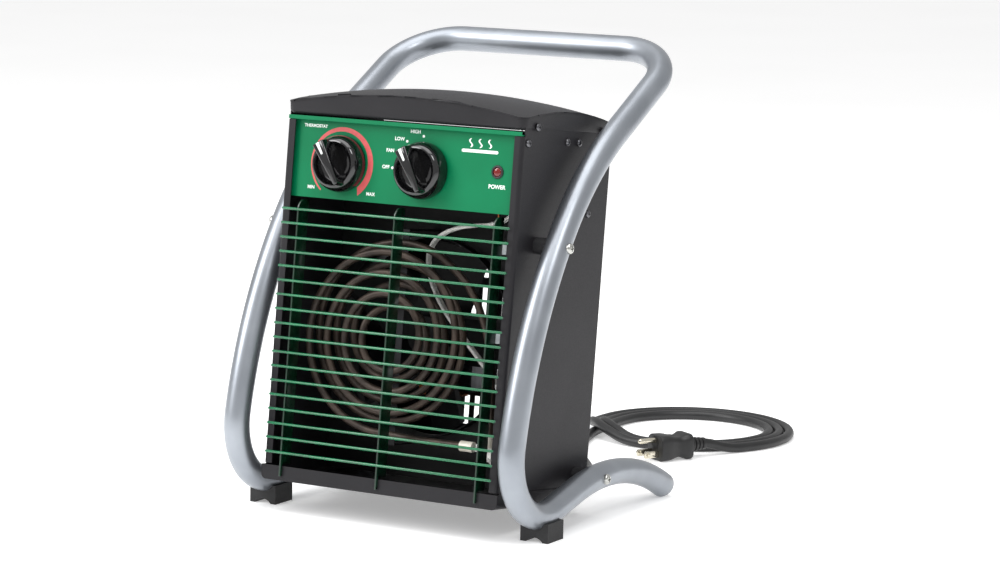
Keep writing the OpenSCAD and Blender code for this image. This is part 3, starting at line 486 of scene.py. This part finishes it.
blade_apart = 6.35
blade_half_t = 0.75
blade_tip = 70
blades = []
for side in (-1, 1):
    blade_y = side * blade_apart
    blade = block("blade", (53.5, blade_y - blade_half_t, -8), (blade_tip, blade_y + blade_half_t, -1.7))
    only(blade)
    to_edit()
    bpy.ops.mesh.select_all(action="DESELECT")
    to_object()
    for edge in blade.data.edges:
        ends = [blade.data.vertices[i].co for i in edge.vertices]
        edge.select = all(abs(e.x - blade_tip * MM) < 1e-6 for e in ends) \
            and abs(ends[0].y - ends[1].y) > 1e-6
    to_edit()
    bpy.ops.mesh.bevel(offset=1.4 * MM, segments=3)
    to_object()
    hole = turned("hole", [(1.6, -3), (1.6, 3)], 24)
    settle(hole, at(66, blade_y, -4.85) @ facing_front)
    cut(blade, hole)
    blades.append(ease(blade, 0.2, 2))
blades = settle(join("plug_flat_blades", blades), plug_place)
hand_over(blades, "housing", "plug_brass", nickel_brass, "plug_blades")

earth_pin = turned("plug_earth_pin", [(2.4, 53.5), (2.4, 69.2), (2.2, 70.6), (1.7, 71.7),
                                      (0.9, 72.4), (0.3, 72.5)], 24)
settle(earth_pin, plug_place @ at(0, 0, 7) @ along_plug)
hand_over(earth_pin, "housing", "plug_brass", nickel_brass, "ground_pin")

# ---- Stand ----

# The tube is bent as a bender does it, from the right end round to the left end
tail_end = (tube_x, 127.68, 9.67)
tail_fall = 28.5
bpy.ops.mesh.primitive_circle_add(vertices=40, radius=tube_r * MM)
stand = bpy.context.object
stand.name = "bent_stand_tube"
heading = math.radians(180 - tail_fall)
settle(stand, at(*tail_end) @ Matrix.Rotation(heading - math.pi / 2, 4, "X"))
spot = Vector(tail_end) * MM
forward = Vector((0, math.cos(heading), math.sin(heading)))
to_edit()
bpy.ops.mesh.select_all(action="SELECT")


def bend(form, axis, way=1):
    """Bends the tube on about an axis, way 1 or -1, by a form: degrees, radius and steps."""
    global spot, forward
    angle, radius, steps = form
    angle *= way
    side = axis.cross(forward).normalized()
    centre = spot + side * math.copysign(radius * MM, angle)
    turn = Matrix.Rotation(math.radians(angle), 3, axis)
    bpy.ops.mesh.spin(steps=steps, angle=-math.radians(angle), center=centre, axis=axis)
    spot = centre + turn @ (spot - centre)
    forward = turn @ forward


def run_on(length):
    global spot
    bpy.ops.mesh.extrude_region_move(
        TRANSFORM_OT_translate={"value": forward * length * MM})
    spot = spot + forward * length * MM


across_x = Vector((1, 0, 0))
tail_bend = (42, 227, 20)
foot_bend = (115.5, 54, 36)
shin_bend = (26, 415, 24)
arm_bend = (23.5, 270, 18)
corner_bend = (90, 53, 30)
foot_straight = 40
arm_straight = 77

bend(tail_bend, across_x)
run_on(foot_straight)
for side_bend in (foot_bend, shin_bend, arm_bend):
    bend(side_bend, across_x, -1)
run_on(arm_straight)
handle_axis = forward.cross(Vector((-1, 0, 0))).normalized()
bend(corner_bend, handle_axis)
run_on(2 * (tube_x - corner_bend[1]))
bend(corner_bend, handle_axis)
run_on(arm_straight)
for side_bend in (arm_bend, shin_bend, foot_bend):
    bend(side_bend, across_x)
run_on(foot_straight)
bend(tail_bend, across_x, -1)


def mouth(middle, out):
    """A rounded mouth with a blind bore, from the selected ring on."""
    for shrink, move in ((0.985, 0.35), (0.95, 0.35), (0.9, 0.0), (0.93, -2.5), (1.0, -10)):
        bpy.ops.mesh.extrude_region_move(TRANSFORM_OT_translate={"value": out * move * MM})
        middle = middle + out * move * MM
        bpy.ops.transform.resize(value=(shrink, shrink, shrink), center_override=middle)
    bpy.ops.mesh.edge_face_add()
    bpy.ops.mesh.select_all(action="DESELECT")


# The chain ends at the left tail, so its ring is still selected; the right one is picked by place
mouth(spot.copy(), forward.copy())
bpy.ops.mesh.select_mode(type="VERT")
to_object()
right_end = Vector(tail_end) * MM
for vertex in stand.data.vertices:
    from_end = vertex.co - right_end
    vertex.select = from_end.length < 1.05 * tube_r * MM and abs(from_end.dot(forward)) < 1e-4
to_edit()
mouth(right_end, forward.copy())
to_object()
outward(stand)
hand_over(stand, "housing", "silver_paint", silver_lacquer, "stand_tube")

for foot_node in ("left_foot", "right_foot"):
    foot = from_cad(foot_node, 0.8, 3, 40)
    hand_over(foot, "housing", "black_rubber", rubber, foot_node, level=True)

# ---- Screws ----


def cross_screw(across, height):
    """A pan head on its shank, with a cross recess."""
    r = across / 2
    head = turned("screw", [(r * 0.5, -3), (r * 0.5, 0), (r, 0), (r, height * 0.35),
                            (r * 0.94, height * 0.62), (r * 0.8, height * 0.84),
                            (r * 0.55, height * 0.96), (r * 0.2, height)], 32)
    arm, wing = r * 0.52, r * 0.13
    first = block("cross", (-arm, -wing, height * 0.45), (arm, wing, height + 1))
    second = block("cross", (-wing, -arm, height * 0.45), (wing, arm, height + 1))
    cut(head, first)
    return cut(head, second)


def screw_set(name, across, height, places, slot, finish, node):
    heads = []
    for place in places:
        heads.append(settle(cross_screw(across, height), place))
    hand_over(join(name, heads), "housing", slot, finish, node)


side_spots = [(8.5, 299), (74, 302), (94, 302), (118, 243)]
cover_spots = [(20, 312.5), (132, 312.5)]
back_spots = [(s * 108, z) for s in (-1, 1) for z in (296, 190, 26)]
stand_spots = [(-69.88, 240.01), (3.53, 36.62)]


def both_sides(spots, x):
    return [m for y, z in spots for m in (at(x, y, z) @ facing_right, at(-x, y, z) @ facing_left)]


screw_set("side_cross_screws", 6.5, 2.2, [body_place @ m for m in both_sides(side_spots, half_w)],
          "screw_steel", dark_screw, "side_screws")
screw_set("cover_cross_screws", 6.5, 2.2,
          [body_place @ m for m in both_sides(cover_spots, half_w + 1.5)],
          "screw_steel", dark_screw, "cover_screws")
screw_set("back_cross_screws", 6.5, 2.2,
          [body_place @ at(x, body_d, z) @ facing_back for x, z in back_spots],
          "screw_steel", dark_screw, "back_screws")
screw_set("stand_cross_screws", 9, 3.2, both_sides(stand_spots, tube_x + tube_r - 0.3),
          "screw_steel", zinc_screw, "stand_screws")

# ---- Sheet metal ----

for sheet_node, sheet_finish, sheet_slot in (
    ("base_tray", black_coat, "black_paint"), ("left_side_panel", black_coat, "black_paint"),
    ("right_side_panel", black_coat, "black_paint"), ("back_panel", black_coat, "black_paint"),
    ("control_panel", green_coat, "green_paint"),
):
    sheet_piece = from_cad(sheet_node, 0.3, 2, 40)
    hand_over(sheet_piece, "housing", sheet_slot, sheet_finish, sheet_node, level=True)

# Grille: rods with round ends, welded across the front of three strips
rod_r = 1.15
rod_y = -4.7
rod_reach = 110
rod_count = 18
first_rod = 24.2
rod_pitch = 12.07
rods = []
for row in range(rod_count):
    rod = turned("rod", [(0.7, -rod_reach), (1.0, 0.3 - rod_reach), (rod_r, 0.7 - rod_reach),
                         (rod_r, rod_reach - 0.7), (1.0, rod_reach - 0.3), (0.7, rod_reach)], 14)
    rods.append(settle(rod, body_place @ at(0, rod_y, first_rod + rod_pitch * row) @ facing_right))
hand_over(join("grille_rods", rods), "housing", "green_paint", wire_coat)

strip_y = -3.8
strip_back = 11.2
strip_top = 237.6
strip_bend = 8
strip_t = 1.6
strip_apart = 95
strip_outline = [(strip_back, 14), (strip_back, strip_top)]
strip_outline += [(strip_y + strip_bend * (1 - math.sin(math.radians(a))),
                   strip_top - strip_bend * (1 - math.cos(math.radians(a))))
                  for a in range(0, 91, 10)]
strip_outline += [(strip_y, 4.3), (strip_y + 0.3, 4), (-1.5, 4), (-1.2, 4.3), (-1.2, 14)]
strips = []
for strip_x in (-strip_apart, 0, strip_apart):
    bpy.ops.mesh.primitive_circle_add(vertices=len(strip_outline), radius=MM, fill_type="NGON")
    strip = bpy.context.object
    for vertex, (y, z) in zip(strip.data.vertices, strip_outline):
        vertex.co = Vector((0, y, z)) * MM
    to_edit()
    bpy.ops.mesh.select_all(action="SELECT")
    bpy.ops.mesh.extrude_region_move(TRANSFORM_OT_translate={"value": (strip_t * MM, 0, 0)})
    to_object()
    outward(strip)
    ease(strip, 0.25, 2, 60)
    strips.append(settle(strip, body_place @ at(strip_x - strip_t / 2, 0, 0)))
# The strips take the darkened green coat, painted shade for the shade behind the rods
hand_over(join("grille_strips", strips), "housing", "green_paint", strip_painted_shade_coat, "front_grille")

# The pillow-shaped cover: a block cut into strips, crowned, rounded at the rim, then hollowed
cover_over = 1.5
cover_low = 308.3
crown_z = 338
cover_x = half_w + cover_over
cover_y = body_d / 2 + cover_over
arch_across = 620
arch_along = 380
cover_corner = 7.5
cover_rim = 6.5
cover_sheet = 1.2


def crown(x, y):
    """Height of the crowned top in the body's own millimetres."""
    reach = arch_across - arch_along + math.sqrt(arch_along ** 2 - y ** 2)
    return crown_z - arch_across + math.sqrt(reach ** 2 - x ** 2)


cover = block("crowned_cover", (-cover_x, -cover_y, cover_low), (cover_x, cover_y, crown_z))
for edge in cover.data.edges:
    ends = [cover.data.vertices[i].co for i in edge.vertices]
    edge.select = abs(ends[0].z - ends[1].z) > 1e-6
for vertex in cover.data.vertices:
    vertex.select = False
for face in cover.data.polygons:
    face.select = False
to_edit()
bpy.ops.mesh.select_mode(type="EDGE")
bpy.ops.mesh.bevel(offset=cover_corner * MM, segments=6)
for x in range(-104, 105, 13):
    bpy.ops.mesh.select_all(action="SELECT")
    bpy.ops.mesh.bisect(plane_co=(x * MM, 0, 0), plane_no=(1, 0, 0))
for y in range(-70, 71, 14):
    bpy.ops.mesh.select_all(action="SELECT")
    bpy.ops.mesh.bisect(plane_co=(0, y * MM, 0), plane_no=(0, 1, 0))
bpy.ops.mesh.select_all(action="DESELECT")
to_object()
for vertex in cover.data.vertices:
    if vertex.co.z > (cover_low + 5) * MM:
        vertex.co.z = crown(vertex.co.x / MM, vertex.co.y / MM) * MM
for face in cover.data.polygons:
    face.select = face.normal.z < -0.9
only(cover)
to_edit()
bpy.ops.mesh.select_mode(type="FACE")
bpy.ops.mesh.delete(type="FACE")
to_object()
ease(cover, cover_rim, 6, 50)
modify(cover, "SOLIDIFY", thickness=cover_sheet * MM, offset=-1)
settle(cover, body_place @ at(0, body_d / 2, 0))
hand_over(cover, "housing", "black_paint", black_coat, "top_cover", smooth=50)

# ---- Control panel: prints, knobs and lamp ----

# Thickness of an ink film, and how far its back stands off the panel
ink_t = 0.05
ink_off = 0.01


def printed(name, points):
    """A film of ink: a flat outline of (x, height) points, given a little thickness."""
    bpy.ops.mesh.primitive_circle_add(vertices=len(points), radius=MM, fill_type="NGON")
    film = bpy.context.object
    film.name = name
    for vertex, (x, z) in zip(film.data.vertices, points):
        vertex.co = Vector((x, z, 0)) * MM
    to_edit()
    bpy.ops.mesh.select_all(action="SELECT")
    bpy.ops.mesh.extrude_region_move(TRANSFORM_OT_translate={"value": (0, 0, ink_t * MM)})
    to_object()
    return outward(film)


def on_panel(film, finish):
    settle(film, body_place @ at(0, panel_y - ink_off, 0) @ facing_front)
    return hand_over(film, "housing", "green_paint", finish)


def legend(words, x, z, height, name):
    bpy.ops.object.text_add(location=(x * MM, z * MM, 0))
    text = bpy.context.object
    text.data.body = words
    text.data.size = height * MM * 1.38
    text.data.align_x = "CENTER"
    text.data.align_y = "CENTER"
    text.data.extrude = ink_t / 2 * MM
    text.data.offset = 0.00012 * height / 3
    only(text)
    bpy.ops.object.convert(target="MESH")
    film = settle(bpy.context.object)
    film.name = name
    return film


def ring_point(r, degrees):
    a = math.radians(degrees)
    return (thermostat_x + r * math.sin(a), knob_z + r * math.cos(a))


ring_outer = 30.6
ring_low, ring_high = -140, 138
ring_steps = 72
outer_edge, inner_edge = [], []
for step in range(ring_steps + 1):
    share = step / ring_steps
    outer_edge.append(ring_point(ring_outer, ring_low + (ring_high + 8 - ring_low) * share))
    inner_edge.append(ring_point(ring_outer - 1.3 - 4.6 * share,
                                 ring_low + (ring_high - ring_low) * share))
on_panel(printed("thermostat_scale_ring", outer_edge + inner_edge[::-1]), red_ink)

dots = []
for number, (x, z) in enumerate([(-10.5, 270.3), (-6.8, 283.4), (2.1, 293.1), (17.6, 298.3)]):
    circle = [(x + 1.15 * math.cos(math.radians(a)), z + 1.15 * math.sin(math.radians(a)))
              for a in range(0, 360, 15)]
    dots.append(printed(f"dot_{number}", circle))
on_panel(join("mode_scale_dots", dots), white_ink)

legends = [
    ("THERMOSTAT", -88, 300, 2.6), ("MIN", -89, 248.6, 2.8), ("MAX", -30, 246.8, 2.8),
    ("OFF", -16.9, 270.6, 2.9), ("FAN", -13.7, 284.5, 2.9), ("LOW", -5.3, 294.6, 2.9),
    ("HIGH", 9.6, 301.5, 2.9), ("POWER", 90.2, 261.7, 3.3),
]
for words, x, z, height in legends:
    on_panel(legend(words, x, z, height, "legend_" + words.lower()), white_ink)

# A plain symbol for rising heat: three waves over a bar
waves = []
for wave in range(3):
    left, right = [], []
    for step in range(13):
        z = 292.5 + 7.2 * step / 12
        x = 63 + 9 * wave + 1.3 * math.sin(math.radians(360 * step / 12))
        left.append((x - 0.75, z))
        right.append((x + 0.75, z))
    waves.append(printed(f"wave_{wave}", left + right[::-1]))
bar = []
for middle, first in ((88, -90), (56, 90)):
    bar += [(middle + 1.3 * math.cos(math.radians(first + a)),
             289.6 + 1.3 * math.sin(math.radians(first + a))) for a in range(0, 181, 20)]
waves.append(printed("bar", bar))
on_panel(join("heat_symbol", waves), white_ink)


def dial(name, x, pointer, body, node):
    """A control knob: a drum with a dished face and a tapered grip bar across it."""
    drum = turned(name + "_drum", [
        (17.8, 1), (23.3, 0), (24, 0.6), (24, 3), (23.8, 5.2), (23.2, 7.6), (22.3, 10), (21.3, 12),
        (20.3, 13.4), (19.3, 14.2), (18.4, 14.3), (17.8, 13.7), (17.1, 12.0), (16.0, 9.6),
        (13.6, 7.9), (9.0, 7.0), (3, 6.8),
    ], 72)
    grip = block(name + "_grip", (-6.25, -21, 5), (6.25, 21, 24))
    for vertex in grip.data.vertices:
        if vertex.co.y < 0:
            vertex.co.x *= 0.4
        if vertex.co.z > 10 * MM:
            vertex.co.x *= 0.86
            vertex.co.y *= 0.94
    ease(grip, 1.3, 4, 30)
    knob = join(name + "_knob_moulding", [drum, grip])
    place = body_place @ at(x, panel_y - 0.8, knob_z) @ facing_front \
        @ Matrix.Rotation(-math.radians(pointer), 4, "Z")
    settle(knob, place)
    hand_over(knob, body, "knob_plastic", gloss_plastic, node, smooth=40)
    line = block(name + "_line", (-1.5, 8.6, 23.9), (1.5, 19.2, 24.04))
    for vertex in line.data.vertices:
        if vertex.co.y < 10 * MM:
            vertex.co.x *= 0.62
    ease(line, 0.5, 3, 60)
    line.name = name + "_pointer_line"
    settle(line, place)
    hand_over(line, body, "knob_plastic", white_ink)


dial("thermostat", thermostat_x, -32, "thermostat_dial", "thermostat_knob")
dial("mode", mode_x, -30, "mode_dial", "mode_knob")

lamp_place = body_place @ at(lamp_x, panel_y, lamp_z) @ facing_front
bezel = turned("lamp_collar", [(4.5, -9), (4.5, 0), (5.5, 0), (5.5, 0.7), (5.2, 1.1), (4.6, 1.3),
                               (4.0, 1.1), (3.8, 0.4), (3.75, -6)], 40)
settle(bezel, lamp_place)
hand_over(bezel, "housing", "black_plastic", matt_nylon, "lamp_bezel")
lens = turned("lamp_lens", [(3.7, -10), (3.7, 0.5), (3.4, 1.0), (2.7, 1.4), (1.6, 1.6),
                            (0.4, 1.65)], 32)
settle(lens, lamp_place)
hand_over(lens, "housing", "lamp_lens", red_lens, "power_lamp")

# ---- Heating element and its wires ----

sheath_r = 3.2
front_y = 26
layer_gap = 14
pitch = 17.5
front_turns = 3.25
front_start = -95
inner_r = 80 - pitch * front_turns
front_finish = front_start - 360 * front_turns
rear_turns = (front_finish - 60) / 360 + 7
element_route = [(air_x + x, front_y, air_z + z)
                 for x, z in ((80, -82), (62, -82), (44, -82), (26, -81.5), (10, -80.5))]
for step in range(0, round(front_turns * 60) + 1):
    t = step / 60
    a = math.radians(front_start - 360 * t)
    r = 80 - pitch * t
    element_route.append((air_x + r * math.cos(a), front_y, air_z + r * math.sin(a)))
for step in range(1, round(rear_turns * 60) + 1):
    t = step / 60
    a = math.radians(front_finish - 360 * t)
    r = inner_r + pitch * t
    back = layer_gap * math.sin(math.radians(90 * min(1, t / 0.3))) ** 2
    element_route.append((air_x + r * math.cos(a), front_y + back, air_z + r * math.sin(a)))
element_route += [(air_x + x, front_y + layer_gap, air_z + z) for x, z in (
    (54, 61), (67, 50), (78, 35), (87, 16), (93, -4), (96, -26), (98, -48), (98, -72))]
element = drawn_tube("wound_element", on_body(element_route), sheath_r * MM, 3)
hand_over(element, "housing", "element_sheath", sheath, "heating_element", smooth=60)

# Two sleeved wires from the grommet in the shield, behind the element and down to its ends
wire_route = [(78, 60, 261), (78, 60, 251), (77, 60, 241), (70, 59, 234), (58, 58, 229.5),
              (42, 57, 227), (24, 57, 223), (9, 59, 216), (-2, 63, 206), (-7, 68, 193),
              (-5, 72, 177), (5, 75, 157), (23, 76, 136), (45, 75, 115), (66, 70, 96),
              (82, 63, 76)]
wire_ends = (
    (-1, [(90.7, 52, 64), (92.7, 40, 50), (88.7, 31, 45)], element_route[0], (19, 0, 0)),
    (1, [(96.7, 54, 60), (97.7, 48, 42), (90.7, 43, 30)], element_route[-1], (0, 0, -20)),
)
wires = []
for side, last, end, past in wire_ends:
    run = [(x, y + 1.9 * side, z) for x, y, z in wire_route] + last
    run.append(tuple(a + b for a, b in zip(end, past)))
    wires.append(drawn_tube("wire", on_body(run), 1.6 * MM, 3, True))
hand_over(join("element_wires", wires), "housing", "lead_sleeve", glass_sleeve, "heater_leads",
          smooth=60)

# ---- Floor and light ----

floor = turned("studio_floor", [(14980, -30), (15000, -22), (15000, -8), (14990, 0)], 96)
floor.data.materials.append(material("pale_studio_paper", "#fbfbfb", "#f8f8f8", (0.85, 0.95),
                                     400, 5, 0.001, Emission_Color=(1, 1, 1, 1),
                                     Emission_Strength=0.33))

world = bpy.data.worlds.new("studio")
bpy.context.scene.world = world
world.use_nodes = True
world.node_tree.nodes["Background"].inputs["Color"].default_value = (1, 1, 1, 1)
world.node_tree.nodes["Background"].inputs["Strength"].default_value = 0.6


def softbox(name, place, size, watts):
    bpy.ops.object.light_add(type="AREA", location=place)
    light = bpy.context.object
    light.name = name
    light.data.shape = "RECTANGLE"
    light.data.size, light.data.size_y = size
    light.data.energy = watts
    light.rotation_mode = "QUATERNION"
    light.rotation_quaternion = (Vector((0, 0, 0.2)) - Vector(place)).to_track_quat("-Z", "Y")


softbox("overhead", (-0.2, -0.4, 2.6), (2.2, 2.2), 40)
softbox("front_left", (-1.6, -1.8, 1.7), (1.3, 1.7), 50)
softbox("high_right", (1.2, -0.9, 2.0), (0.7, 0.7), 12)

bpy.context.scene.view_settings.view_transform = "Standard"

bpy.ops.object.select_all(action="DESELECT")
bpy.context.view_layer.update()
